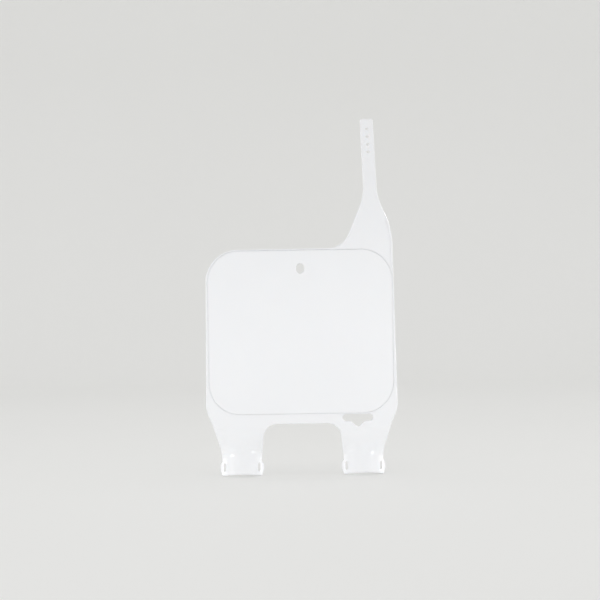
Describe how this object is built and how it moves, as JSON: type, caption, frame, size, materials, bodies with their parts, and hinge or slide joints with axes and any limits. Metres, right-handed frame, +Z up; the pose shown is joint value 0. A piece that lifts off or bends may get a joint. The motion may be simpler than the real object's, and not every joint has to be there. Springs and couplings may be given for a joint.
{
  "type": "racing number board",
  "caption": "Moulded white plastic racing number board with a raised square number field, a long strap with peg holes, a cable cut-out and legs that end in fork saddles.",
  "frame": {"origin": "bottom centre of the board's box: level with the lowest corners of the saddles", "axes": "+Z up along the board, +X to the right as seen from the front; the front faces -Y"},
  "size_m": [0.2878, 0.0276, 0.5346],
  "materials": {
    "white_plastic": "satin moulded polypropylene"
  },
  "bodies": {
    "root": {"number_board": "white_plastic"}
  },
  "joints": []
}
